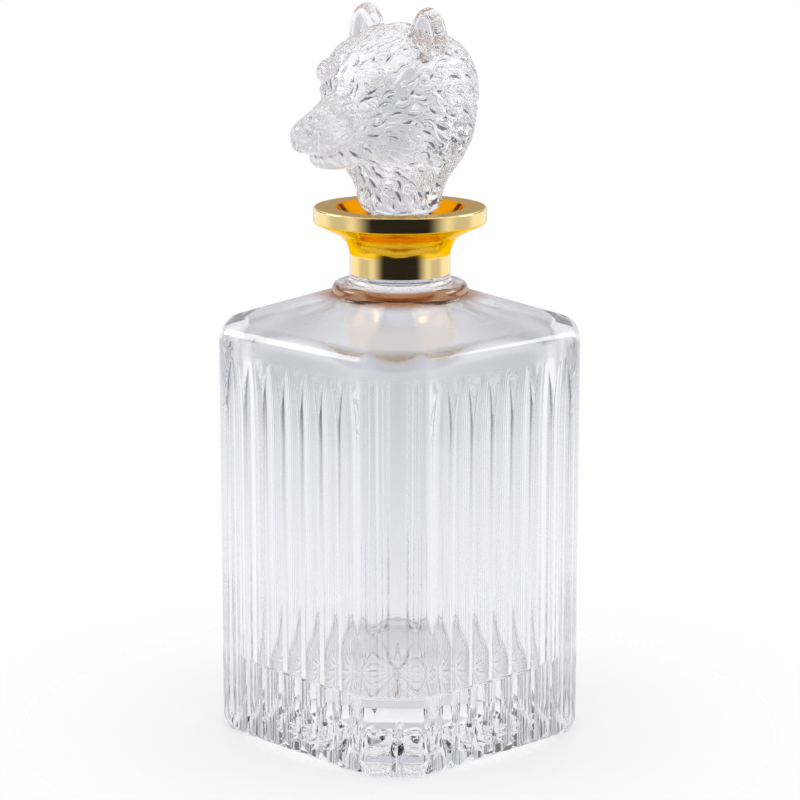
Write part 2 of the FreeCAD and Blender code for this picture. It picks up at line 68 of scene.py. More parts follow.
# Heights and radii read from the frame
HALF_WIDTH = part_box("glass_bottle")[1].x
GOLD_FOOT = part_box("gold_collar")[0].z
LIP_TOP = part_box("gold_collar")[1].z
LIP_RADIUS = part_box("gold_collar")[1].x
HEAD_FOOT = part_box("bear_head")[0].z
HEAD_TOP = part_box("bear_head")[1].z
SLEEVE_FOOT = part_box("seal_sleeve")[0].z
SLEEVE_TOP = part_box("seal_sleeve")[1].z
PEG_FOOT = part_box("stopper_peg")[0].z

# The glass body
CORNER_CUT = 13 * MM
EDGE_ROUND = 5 * MM
WALL_HEIGHT = 133 * MM
SHOULDER_PEAK = 17.2 * MM
SHOULDER_ROUND = 6.5 * MM
BEVEL_HEIGHT = 4 * MM
BEVEL_INSET = 2 * MM
FLUTES = 7
FLUTE_PITCH = 8.8 * MM
FLUTE_RADIUS = 7.5 * MM
FLUTE_DEPTH = 1.6 * MM
FLUTE_TOP = 125 * MM
FLUTE_RUNOUT = 24 * MM
FLUTE_TIP_WIDTH = 0.25 * MM
STAR_RAYS = 16
STAR_RADIUS = 35 * MM
STAR_HUB = 7 * MM
STAR_DEPTH = 3.2 * MM

# The neck and the hollow
BEAD_RADIUS = 21.6 * MM
BEAD_ROUND = 2.2 * MM
NECK_RADIUS = 16 * MM
CLEAR_NECK = 2.9 * MM
BEAD_TOP = GOLD_FOOT - CLEAR_NECK
ROOT_ROUND = 2 * MM
COVE_ROUND = 8.2 * MM
LIP_SLOPE = 5.6 * MM
LIP_BAND = 4.8 * MM
LIP_EDGE_ROUND = 0.6 * MM
UNDER_BAND = LIP_TOP - LIP_BAND
COVE_CORNER = UNDER_BAND - LIP_SLOPE
GOLD_WALL = 0.4 * MM
MOUTH_RADIUS = 20.3 * MM
MOUTH_DEPTH = 9 * MM
LEDGE = LIP_TOP - MOUTH_DEPTH
LEDGE_WIDTH = 1.8 * MM
BORE_RADIUS = 11 * MM
LEDGE_RADIUS = BORE_RADIUS + LEDGE_WIDTH
THROAT_ROUND = 4 * MM
SIDE_WALL = 6.5 * MM
HOLLOW_HALF = HALF_WIDTH - SIDE_WALL
HOLLOW_CORNER = 24 * MM
FLOOR_HEIGHT = 23 * MM
FLOOR_ROUND = 1.5 * MM
SHOULDER_WALL = 5 * MM
CEILING_PEAK = WALL_HEIGHT + SHOULDER_PEAK - SHOULDER_WALL
CEILING_FALL = SHOULDER_PEAK / HALF_WIDTH
CEILING_ROUND = 1.5 * MM

# The stopper's peg and its sleeve
FIT_GAP = 0.05 * MM
SPIGOT_GAP = 0.15 * MM
SHANK_INSET = 1.5 * MM
TIP_INSET = 0.7 * MM
TIP_ROUND = 1 * MM
TIP_MIDDLE = 0.3
STEM_EDGE = 0.4 * MM
SLEEVE_INSET = 1.45 * MM
RIBS = 4
RIB_HEIGHT = 0.4 * MM
RIB_SHARES = (0.15, 0.35, 0.65, 0.85)

# The photograph's camera: degrees round from -Y towards +X, degrees up, metres
CAMERA_AZIMUTH = 46.69
CAMERA_ELEVATION = 11.97
CAMERA_DISTANCE = 0.9571
CAMERA_AIM = Vector((0, 0, 0.10786))
CAMERA_LENS = 134.23
SENSOR_WIDTH = 36

# How finely the pieces are divided
MERGE_DISTANCE = 0.002 * MM
SIDES = 4
FLUTE_COLUMNS = 16
ARC_COLUMNS = 5
CHAMFER_COLUMNS = 12
COLUMNS = SIDES * (FLUTES * FLUTE_COLUMNS + 2 * ARC_COLUMNS + CHAMFER_COLUMNS)
STAR_RINGS = [radius * MM for radius in (1.5, 3, 4.5, 6, 7, 9, 12, 15, 18, 21, 24, 27, 30, 32.5, 34, 35, 36)]
LOW_RING = 6 * MM
RUNOUT_SHARES = (0, 0.17, 0.33, 0.42, 0.5, 0.58, 0.66, 0.73, 0.79, 0.845, 0.89, 0.93, 0.96, 0.98, 0.994, 1)
PLAIN_RING = FLUTE_TOP + 2 * MM
BEAD_ROOT = ((1.12, 0), (1.05, 0), (1.02, 0.1 * MM), (1.006, 0.4 * MM), (1.0, 0.9 * MM))
CEILING_SHARES = (0.33, 0.67)
HOLLOW_WALL_SHARES = (0.2, 0.4, 0.6, 0.8)
FLOOR_SHARES = (0.66, 0.33)
TURN_STEPS = 160
SHOULDER_STEPS = 10
COVE_STEPS = 12
CREASE_ANGLE = 30
FUR_CREASE_ANGLE = 75


def new_piece(name, bm, body, node, slot, *materials, crease=CREASE_ANGLE):
    """A finished piece from a bmesh: smooth, with creases over an angle, riding on a CAD body."""
    mesh = bpy.data.meshes.new(name)
    bm.to_mesh(mesh)
    bm.free()
    mesh.shade_smooth()
    mesh.set_sharp_from_angle(angle=math.radians(crease))
    piece = bpy.data.objects.new(name, mesh)
    bpy.context.scene.collection.objects.link(piece)
    for material in materials:
        mesh.materials.append(material)
    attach(piece, body)
    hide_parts(node)
    return piece


def even_normals(piece):
    """Keeps the flat faces flat where they run into a rounding."""
    weighted = piece.modifiers.new("even_normals", "WEIGHTED_NORMAL")
    weighted.keep_sharp = True
    weighted.weight = 80


# Materials

# Sockets of a Mix node that mixes colours
MIX_FIRST, MIX_SECOND, MIX_RESULT = 6, 7, 2


class Finish:
    """A node material whose nodes are added and linked by name."""

    def __init__(self, name):
        self.material = bpy.data.materials.new(name)
        self.material.use_nodes = True
        self.tree = self.material.node_tree
        self.shader = self.tree.nodes["Principled BSDF"]
        self.place = self.add("ShaderNodeTexCoord").outputs["Object"]

    def add(self, kind, **settings):
        node = self.tree.nodes.new(kind)
        for key, value in settings.items():
            setattr(node, key, value)
        return node

    def link(self, source, target):
        self.tree.links.new(source, target)

    def set(self, **values):
        for key, value in values.items():
            self.shader.inputs[key.replace("_", " ")].default_value = value

    def noise(self, scale, detail=2.0, stretch=(1, 1, 1)):
        """Clouds in the piece's own coordinates."""
        mapping = self.add("ShaderNodeMapping")
        mapping.inputs["Scale"].default_value = stretch
        self.link(self.place, mapping.inputs["Vector"])
        cloud = self.add("ShaderNodeTexNoise")
        cloud.inputs["Scale"].default_value = scale
        cloud.inputs["Detail"].default_value = detail
        self.link(mapping.outputs["Vector"], cloud.inputs["Vector"])
        return cloud.outputs["Fac"]

    def ranged(self, source, low, high, from_low=0.35, from_high=0.65):
        """Runs smoothly from low to high while the source goes over its own range."""
        span = self.add("ShaderNodeMapRange", interpolation_type="SMOOTHSTEP")
        span.inputs["From Min"].default_value = from_low
        span.inputs["From Max"].default_value = from_high
        span.inputs["To Min"].default_value = low
        span.inputs["To Max"].default_value = high
        self.link(source, span.inputs["Value"])
        return span.outputs["Result"]

    def product(self, first, second):
        node = self.add("ShaderNodeMath", operation="MULTIPLY")
        self.link(first, node.inputs[0])
        self.link(second, node.inputs[1])
        return node.outputs["Value"]

    def along(self, axis):
        """Place along an axis, X, Y or Z."""
        split = self.add("ShaderNodeSeparateXYZ")
        self.link(self.place, split.inputs["Vector"])
        return split.outputs[axis]

    def between(self, first, second, share):
        """A colour between two, the first given or linked."""
        mix = self.add("ShaderNodeMix", data_type="RGBA")
        if isinstance(first, tuple):
            mix.inputs[MIX_FIRST].default_value = first
        else:
            self.link(first, mix.inputs[MIX_FIRST])
        mix.inputs[MIX_SECOND].default_value = second
        self.link(share, mix.inputs["Factor"])
        return mix.outputs[MIX_RESULT]

    def bump(self, height, strength, distance):
        bump = self.add("ShaderNodeBump")
        bump.inputs["Strength"].default_value = strength
        bump.inputs["Distance"].default_value = distance
        self.link(height, bump.inputs["Height"])
        self.link(bump.outputs["Normal"], self.shader.inputs["Normal"])


CRYSTAL_IOR = 1.54
CRYSTAL_GLOSS = 0.35
WAVE_HEIGHT = 0.4 * MM


def crystal(name, tint, waviness, scale):
    """Clear lead crystal with a faint waviness left by the mould."""
    finish = Finish(name)
    finish.set(Base_Color=tint, IOR=CRYSTAL_IOR, Specular_IOR_Level=CRYSTAL_GLOSS, Transmission_Weight=1.0)
    finish.bump(finish.noise(scale, 1.0), waviness, WAVE_HEIGHT)
    return finish


# The bottle's crystal: its tint, its painted reflection of the gold round the bead, its painted shade at the
# flutes' tips, and its roughness by height
CLEAR_TINT = (0.95, 0.95, 0.975, 1)
CLEAR_WAVES = (0.02, 45)
# Painted amber reflection of the gold round the bead: its colour, and the heights and radii it lies between
PAINTED_GOLD_REFLECTION = (0.34, 0.09, 0.02, 1)
PAINTED_REFLECTION_FOOT = (BEAD_TOP - 5.5 * MM, BEAD_TOP - 3.5 * MM)
PAINTED_REFLECTION_HEAD = (BEAD_TOP - 0.6 * MM, BEAD_TOP + 0.2 * MM)
PAINTED_REFLECTION_INSIDE = (14 * MM, 15.5 * MM)
# Painted shade just inside the edges of the flutes' tips: its colour, and the heights over which it comes and
# goes
PAINTED_EDGE_SHADE = "painted_edge_shade"
PAINTED_EDGE_SHADE_TINT = (0.10, 0.10, 0.13, 1)
PAINTED_EDGE_SHADE_HEIGHTS = (0.080, 0.101, 0.111, 0.118, 0.1235)
PAINTED_EDGE_SHADE_SHARES = (0, 0.4, 1, 1, 0)
FIRE_POLISH = 0.008
SHOULDER_POLISH = 0.12
SHOULDER_FOOT = (0.1300, 0.1335)
SHOULDER_HEAD = (BEAD_TOP - 4.5 * MM, BEAD_TOP - 3 * MM)
SOFT_POLISH = 0.36
SOFT_FOOT = (0.121, 0.126)
SOFT_HEAD = (0.1315, 0.1365)
CEILING_SHARE = 0.4
THROAT_EDGES = (0.144, 0.148)

# The head's crystal, its painted shade in the grooves, and how it changes over the muzzle
HEAD_TINT = (0.97, 0.97, 0.99, 1)
HEAD_WAVES = (0.02, 200)
GROOVE_DEPTHS = "groove_depth"
PAINTED_GROOVE_SHADE = (0.07, 0.07, 0.10, 1)
PAINTED_GROOVE_SHADE_DEPTHS = (0.09 * MM, 0.26 * MM)
MUZZLE_EDGES = (-0.032, -0.024)
MUZZLE_POLISH = 0.03
MUZZLE_CLEARNESS = 0.82
MUZZLE_BORDER = -0.0265

# The peg and the sleeve
PEG_TINT = (0.96, 0.96, 0.98, 1)
PEG_WAVES = (0.05, 300)
PEG_CLOUDS = 90
PEG_ROUGHNESS = (0.02, 0.06)
SEAL_TINT = (0.97, 0.97, 0.98, 1)
SEAL_IOR = 1.42
SEAL_CLOUDS = 400
SEAL_ROUGHNESS = (0.01, 0.04)

# The gold, with the tint it takes at a grazing angle
CLOUD_DETAIL = 3
BAND_TINT = (1.0, 0.76, 0.33, 1)
BAND_RINGS, BAND_RING_DETAIL, BAND_RING_STRETCH = 60, 4, (1, 1, 30)
BAND_RING_RELIEF = (0.06, 0.1 * MM)
BAND_ROUGHNESS = (0.02, 0.09)
TOP_TINT, TOP_EDGE_TINT = (0.64, 0.46, 0.20, 1), (0.85, 0.68, 0.38, 1)
TOP_GRAIN = 120
TOP_ROUGHNESS = (0.16, 0.26)
# Cove and funnel: gold deepened with painted reflection, and the tint each takes at a grazing angle
COVE_GOLD_AND_PAINTED_REFLECTION, COVE_EDGE_TINT = (1.0, 0.58, 0.03, 1), (1.0, 0.75, 0.2, 1)
FUNNEL_GOLD_AND_PAINTED_REFLECTION, FUNNEL_EDGE_TINT = (0.85, 0.34, 0.01, 1), (1.0, 0.5, 0.05, 1)
DEEP_CLOUDS, DEEP_STRETCH = 160, (1, 1, 4)
DEEP_ROUGHNESS = (0.05, 0.16)
# The inner side of the gold, painted pale with painted light
UNDER_PAINTED_LIGHT = (0.92, 0.88, 0.82, 1)
UNDER_METAL = 0.4
UNDER_CLOUDS = 300
UNDER_ROUGHNESS = (0.25, 0.4)


def bottle_crystal():
    """The bottle's crystal: softly polished on the shoulder, with a painted amber reflection of the gold
    above round the bead, and painted shade just inside the edges of the flutes."""
    finish = crystal("bottle_crystal", CLEAR_TINT, *CLEAR_WAVES)
    height = finish.along("Z")
    flat = finish.add("ShaderNodeVectorMath", operation="MULTIPLY")
    flat.inputs[1].default_value = (1, 1, 0)
    finish.link(finish.place, flat.inputs[0])
    radius = finish.add("ShaderNodeVectorMath", operation="LENGTH")
    finish.link(flat.outputs["Vector"], radius.inputs[0])
    # Painted amber reflection of the gold, outside the bore and round the bead
    gold_reflection = finish.ranged(radius.outputs["Value"], 0, 1, *PAINTED_REFLECTION_INSIDE)
    gold_reflection = finish.product(gold_reflection, finish.ranged(height, 0, 1, *PAINTED_REFLECTION_FOOT))
    gold_reflection = finish.product(gold_reflection, finish.ranged(height, 1, 0, *PAINTED_REFLECTION_HEAD))
    # Painted shade inside the flutes' tips, read from the points
    shade = finish.add("ShaderNodeAttribute", attribute_name=PAINTED_EDGE_SHADE).outputs["Fac"]
    # The crystal's colour: its tint with the painted gold reflection and the painted edge shade mixed in
    tint = finish.between(finish.between(CLEAR_TINT, PAINTED_GOLD_REFLECTION, gold_reflection), PAINTED_EDGE_SHADE_TINT, shade)
    finish.link(tint, finish.shader.inputs["Base Color"])
    polish = finish.ranged(height, FIRE_POLISH, SHOULDER_POLISH, *SHOULDER_FOOT)
    polish = finish.product(polish, finish.ranged(height, 1, 0, *SHOULDER_HEAD))
    finish.link(polish, finish.shader.inputs["Roughness"])
    return finish.material


def hollow_crystal():
    """The crystal's inside, clear but for a soft edge all round under the shoulder."""
    finish = crystal("hollow_crystal", CLEAR_TINT, *CLEAR_WAVES)
    height = finish.along("Z")
    polish = finish.ranged(height, FIRE_POLISH, SOFT_POLISH, *SOFT_FOOT)
    polish = finish.product(polish, finish.ranged(height, 1, CEILING_SHARE, *SOFT_HEAD))
    polish = finish.product(polish, finish.ranged(height, 1, 0, *THROAT_EDGES))
    finish.link(polish, finish.shader.inputs["Roughness"])
    return finish.material


def head_crystal(name, clearness=1.0):
    """The head's crystal, with painted shade in its grooves and a softer polish on the muzzle."""
    finish = crystal(name, HEAD_TINT, *HEAD_WAVES)
    finish.set(Transmission_Weight=clearness)
    groove = finish.add("ShaderNodeAttribute", attribute_name=GROOVE_DEPTHS).outputs["Fac"]
    # Painted shade in the grooves, darker the deeper the groove
    tint = finish.between(HEAD_TINT, PAINTED_GROOVE_SHADE, finish.ranged(groove, 0, 1, *PAINTED_GROOVE_SHADE_DEPTHS))
    finish.link(tint, finish.shader.inputs["Base Color"])
    polish = finish.ranged(finish.along("Y"), MUZZLE_POLISH, 0, *MUZZLE_EDGES)
    finish.link(polish, finish.shader.inputs["Roughness"])
    return finish.material


def peg_crystal():
    """The peg, ground to a soft polish."""
    finish = crystal("peg_crystal", PEG_TINT, *PEG_WAVES)
    clouds = finish.noise(PEG_CLOUDS, CLOUD_DETAIL)
    finish.link(finish.ranged(clouds, *PEG_ROUGHNESS), finish.shader.inputs["Roughness"])
    return finish.material


def gold_with_painted_reflection(name, colour, edge):
    """The gold of a cove or a funnel, its colour deepened with painted reflection of the gold it faces."""
    finish = Finish(name)
    finish.set(Base_Color=colour, Specular_Tint=edge, Metallic=1.0)
    clouds = finish.noise(DEEP_CLOUDS, CLOUD_DETAIL, stretch=DEEP_STRETCH)
    finish.link(finish.ranged(clouds, *DEEP_ROUGHNESS), finish.shader.inputs["Roughness"])
    return finish.material


def mirror_gold():
    """Gold fired on the glass: a mirror with fine drawn rings and a few brush marks."""
    finish = Finish("mirror_gold")
    finish.set(Base_Color=BAND_TINT, Metallic=1.0)
    rings = finish.noise(BAND_RINGS, BAND_RING_DETAIL, stretch=BAND_RING_STRETCH)
    finish.link(finish.ranged(rings, *BAND_ROUGHNESS), finish.shader.inputs["Roughness"])
    finish.bump(rings, *BAND_RING_RELIEF)
    return finish.material


def satin_gold():
    """The flat top of the lip, which is less bright than the band."""
    finish = Finish("satin_gold")
    finish.set(Base_Color=TOP_TINT, Specular_Tint=TOP_EDGE_TINT, Metallic=1.0)
    grain = finish.noise(TOP_GRAIN, CLOUD_DETAIL)
    finish.link(finish.ranged(grain, *TOP_ROUGHNESS), finish.shader.inputs["Roughness"])
    return finish.material


def under_gold_painted_light():
    """The side of the gold that faces the glass, painted pale: painted light for the light that floods it
    from within.
    """
    finish = Finish("under_gold_painted_light")
    finish.set(Base_Color=UNDER_PAINTED_LIGHT, Metallic=UNDER_METAL)
    clouds = finish.noise(UNDER_CLOUDS, CLOUD_DETAIL)
    finish.link(finish.ranged(clouds, *UNDER_ROUGHNESS), finish.shader.inputs["Roughness"])
    return finish.material


def seal_polymer():
    """The sleeve's clear polymer, a little cloudy."""
    finish = Finish("seal_polymer")
    finish.set(Base_Color=SEAL_TINT, Transmission_Weight=1.0, IOR=SEAL_IOR)
    clouds = finish.noise(SEAL_CLOUDS, CLOUD_DETAIL)
    finish.link(finish.ranged(clouds, *SEAL_ROUGHNESS), finish.shader.inputs["Roughness"])
    return finish.material


# The glass bottle, ring by ring


def flute_half_width(rise):
    """Half the width of a flute at a height over the start of its run-out."""
    sweep = (FLUTE_RUNOUT**2 + FLUTE_DEPTH**2) / (2 * FLUTE_DEPTH) - FLUTE_RADIUS
    reach = math.hypot(sweep + FLUTE_RADIUS - FLUTE_DEPTH, rise) - sweep
    return min(FLUTE_PITCH / 2, math.sqrt(max(FLUTE_RADIUS**2 - reach**2, 0)))


def flute_depth(aside, rise):
    """How deep a flute is cut, aside from its middle line, at a height over the start of its run-out."""
    sweep = (FLUTE_RUNOUT**2 + FLUTE_DEPTH**2) / (2 * FLUTE_DEPTH) - FLUTE_RADIUS
    wheel = sweep + math.sqrt(FLUTE_RADIUS**2 - aside**2)
    return max(math.sqrt(wheel**2 - rise**2) - (sweep + FLUTE_RADIUS - FLUTE_DEPTH), 0)


class WallColumn:
    """One upright line of the outside: its side and its place across a flute or round an edge."""

    def __init__(self, number):
        per_side = COLUMNS // SIDES
        self.turn = 2 * math.pi * (number // per_side) / SIDES
        step = number % per_side
        self.flute, self.share = divmod(step, FLUTE_COLUMNS)
        self.edge = step - FLUTES * FLUTE_COLUMNS
        self.share = 2 * self.share / (FLUTE_COLUMNS - 1) - 1
        self.star_turn = 2 * math.pi * (number - (FLUTES * FLUTE_COLUMNS - 1) / 2) / COLUMNS

    def local(self, height, inset):
        """Place out from the axis and along the side, in the side's own frame."""
        flat_end = HALF_WIDTH - CORNER_CUT - EDGE_ROUND * math.tan(math.pi / 8)
        if self.edge < 0:
            rise = max(height - (FLUTE_TOP - FLUTE_RUNOUT), 0)
            middle = (self.flute - (FLUTES - 1) / 2) * FLUTE_PITCH
            width = max(flute_half_width(rise), FLUTE_TIP_WIDTH)
            depth = flute_depth(self.share * width, min(rise, FLUTE_RUNOUT))
            if rise > FLUTE_RUNOUT + FLUTE_TIP_WIDTH:
                width, depth = FLUTE_PITCH / 2, 0
            return HALF_WIDTH - max(inset, depth), middle + self.share * width
        radius = EDGE_ROUND - inset
        last = 2 * ARC_COLUMNS + CHAMFER_COLUMNS - 1
        step = min(self.edge, last - self.edge, ARC_COLUMNS - 1)
        angle = math.pi / 4 * step / (ARC_COLUMNS - 1)
        out = HALF_WIDTH - EDGE_ROUND + radius * math.cos(angle)
        along = flat_end + radius * math.sin(angle)
        if self.edge < ARC_COLUMNS:
            return out, along
        if self.edge > last - ARC_COLUMNS:
            return along, out
        share = (self.edge - ARC_COLUMNS + 1) / (CHAMFER_COLUMNS + 1)
        return out + (along - out) * share, along + (out - along) * share

    def plan(self, height, inset=0.0):
        """Place on the plan at a height, drawn in by an inset."""
        out, along = self.local(height, inset)
        cos, sin = math.cos(self.turn), math.sin(self.turn)
        return Vector((out * cos - along * sin, out * sin + along * cos, 0))

    def cut(self):
        """Depth of the flute at this column, low on the wall."""
        return HALF_WIDTH - self.local(FLUTE_TOP - FLUTE_RUNOUT, 0.0)[0] if self.edge < 0 else 0.0

    def spoke(self):
        """Direction of the column from the axis, where the wall is flat."""
        return self.plan(WALL_HEIGHT).normalized()

    def painted_edge_shade(self, height):
        """How much painted shade lies here, just inside the edge of a flute's tip."""
        just_inside = 1 - 2 / (FLUTE_COLUMNS - 1)
        if self.edge >= 0 or not math.isclose(abs(self.share), just_inside):
            return 0.0
        return float(np.interp(height, PAINTED_EDGE_SHADE_HEIGHTS, PAINTED_EDGE_SHADE_SHARES))


WALL_COLUMNS = [WallColumn(number) for number in range(COLUMNS)]
SPOKES = [column.spoke() for column in WALL_COLUMNS]


def arc(start, end, count):
    """Angles from start to end, both included."""
    return [start + (end - start) * step / count for step in range(count + 1)]


def shoulder_height(point):
    """Height of the shoulder's facets over a point of the plan."""
    corners = (HALF_WIDTH * 2 - CORNER_CUT) / math.sqrt(2)
    slant = (abs(point.x) + abs(point.y)) / math.sqrt(2)
    reach = max(abs(point.x) / HALF_WIDTH, abs(point.y) / HALF_WIDTH, slant / corners)
    return WALL_HEIGHT + SHOULDER_PEAK * (1 - reach)


def star_rings():
    """The star ground into the underside, from the hub out to the flat of the foot."""
    ray = math.pi * 2 / STAR_RAYS
    for radius in STAR_RINGS:
        open_share = min(max((STAR_RADIUS - radius) / (STAR_RADIUS - STAR_HUB), 0), 1)
        half_width = STAR_DEPTH * open_share
        ring = []
        for column in WALL_COLUMNS:
            aside = abs((column.star_turn + ray / 2) % ray - ray / 2) * max(radius, STAR_HUB)
            depth = half_width * max(1 - aside / half_width, 0) if half_width else 0
            spot = Vector((math.cos(column.star_turn), math.sin(column.star_turn), 0)) * radius
            ring.append(spot + UP * depth)
        yield ring


def wall_rings():
    """The foot's bevel, the fluted walls and the shoulder, up to the bead."""
    yield [column.plan(0, BEVEL_INSET) for column in WALL_COLUMNS]
    yield [
        column.plan(0, column.cut()) + UP * BEVEL_HEIGHT * (1 - column.cut() / BEVEL_INSET)
        for column in WALL_COLUMNS
    ]
    straight = FLUTE_TOP - FLUTE_RUNOUT
    rises = [share * FLUTE_RUNOUT for share in RUNOUT_SHARES]
    heights = [LOW_RING, straight / 4, straight / 2, straight * 3 / 4] + [straight + rise for rise in rises]
    for height in heights + [FLUTE_TOP + 2 * FLUTE_TIP_WIDTH, PLAIN_RING]:
        yield [column.plan(height) + UP * height for column in WALL_COLUMNS]
    slope = math.atan2(SHOULDER_PEAK, HALF_WIDTH)
    turn = math.pi / 2 - slope
    tangent = SHOULDER_ROUND * math.tan(turn / 2)
    for angle in arc(0, turn, SHOULDER_STEPS):
        inset = SHOULDER_ROUND * (1 - math.cos(angle))
        height = WALL_HEIGHT - tangent + SHOULDER_ROUND * math.sin(angle)
        yield [
            column.plan(WALL_HEIGHT) * (1 - inset / HALF_WIDTH) + UP * height for column in WALL_COLUMNS
        ]
    for share, rise in BEAD_ROOT:
        spots = [spoke * BEAD_RADIUS * share for spoke in SPOKES]
        yield [spot + UP * (shoulder_height(spot) + rise) for spot in spots]


def turned_rings(outline):
    """Circles through an outline of radius and height."""
    for radius, height in outline:
        yield [spoke * radius + UP * height for spoke in SPOKES]


def neck_outline():
    """Bead, bare neck, the glass under the gold, the mouth, the ledge and the bore."""
    points = [(BEAD_RADIUS, BEAD_TOP - BEAD_ROUND)]
    for angle in arc(0, math.pi / 2, 7)[1:]:
        points.append(
            (
                BEAD_RADIUS - BEAD_ROUND * (1 - math.cos(angle)),
                BEAD_TOP - BEAD_ROUND * (1 - math.sin(angle)),
            )
        )
    for angle in arc(0, math.pi / 2, 7):
        points.append(
            (
                NECK_RADIUS + ROOT_ROUND * (1 - math.sin(angle)),
                BEAD_TOP + ROOT_ROUND * (1 - math.cos(angle)),
            )
        )
    points += [(NECK_RADIUS, GOLD_FOOT)]
    return points + [(radius, height) for radius, height in gilded_outline(GOLD_WALL / 2)]


def gilded_outline(inset):
    """What the gold covers, drawn in by an inset: skirt, cove, underside, band, top and funnel."""
    fall = math.atan2(LIP_SLOPE, LIP_RADIUS - NECK_RADIUS)
    turn = math.pi / 2 - fall
    cove = COVE_ROUND + inset
    corner = COVE_CORNER + inset
    points = [(NECK_RADIUS - inset, GOLD_FOOT)]
    start = corner - cove * math.tan(turn / 2)
    for angle in arc(0, turn, COVE_STEPS):
        points.append((NECK_RADIUS - inset + cove * (1 - math.cos(angle)), start + cove * math.sin(angle)))
    points += rounded_corner((LIP_RADIUS - inset, UNDER_BAND + inset), fall, math.pi / 2, inset)
    points += rounded_corner((LIP_RADIUS - inset, LIP_TOP - inset), math.pi / 2, math.pi, inset)
    funnel = math.atan2(LEDGE - LIP_TOP, LEDGE_RADIUS - MOUTH_RADIUS) + 2 * math.pi
    points += rounded_corner((MOUTH_RADIUS + inset, LIP_TOP - inset), math.pi, funnel, inset)
    return points + [(LEDGE_RADIUS + inset, LEDGE)]


def rounded_corner(corner, heading, leaving, inset, count=4):
    """Points of a rounding between two headings, angles from straight out in the upright plane."""
    radius = LIP_EDGE_ROUND - inset
    turn = leaving - heading
    tangent = radius * math.tan(turn / 2)
    start = Vector(corner) - tangent * Vector((math.cos(heading), math.sin(heading)))
    centre = start + radius * Vector((-math.sin(heading), math.cos(heading)))
    return [
        tuple(centre + radius * Vector((math.sin(angle), -math.cos(angle))))
        for angle in arc(heading, leaving, count)
    ]


def hollow_reach(spoke):
    """Distance from the axis to the hollow's wall along a spoke."""
    ahead, aside = max(abs(spoke.x), abs(spoke.y)), min(abs(spoke.x), abs(spoke.y))
    middle = HOLLOW_HALF - HOLLOW_CORNER
    flat = HOLLOW_HALF / ahead
    if flat * aside <= middle:
        return flat
    along = middle * (ahead + aside)
    return along + math.sqrt(along**2 - 2 * middle**2 + HOLLOW_CORNER**2)


def hollow_outline(spoke):
    """Throat, ceiling, wall and floor of the hollow along one spoke, as radius and height."""
    fall = math.atan(CEILING_FALL)
    turn = math.pi / 2 - fall
    throat = CEILING_PEAK - CEILING_FALL * BORE_RADIUS
    start = throat + THROAT_ROUND * math.tan(turn / 2)
    points = []
    for angle in arc(0, turn, 6):
        radius = BORE_RADIUS + THROAT_ROUND * (1 - math.cos(angle))
        points.append((radius, start - THROAT_ROUND * math.sin(angle)))
    reach = hollow_reach(spoke)
    corner = CEILING_PEAK - CEILING_FALL * reach
    low = corner - CEILING_ROUND * math.tan(turn / 2)
    near = Vector(points[-1])
    ceiling = [
        (reach - CEILING_ROUND * (1 - math.sin(angle)), low + CEILING_ROUND * math.cos(angle))
        for angle in arc(fall, math.pi / 2, 8)
    ]
    points += [tuple(near.lerp(Vector(ceiling[0]), share)) for share in CEILING_SHARES]
    points += ceiling
    top, bottom = ceiling[-1][1], FLOOR_HEIGHT + FLOOR_ROUND
    points += [(reach, top + (bottom - top) * share) for share in HOLLOW_WALL_SHARES]
    for angle in arc(0, math.pi / 2, 8):
        points.append((reach - FLOOR_ROUND * (1 - math.cos(angle)), bottom - FLOOR_ROUND * math.sin(angle)))
    inner = points[-1][0]
    return points + [(inner * share, FLOOR_HEIGHT) for share in FLOOR_SHARES]


def hollow_rings():
    """The hollow, ring by ring from the throat down."""
    lines = [[(spoke, spot) for spot in hollow_outline(spoke)] for spoke in SPOKES]
    for ring in zip(*lines):
        yield [spoke * radius + UP * height for spoke, (radius, height) in ring]


INSIDE = 1


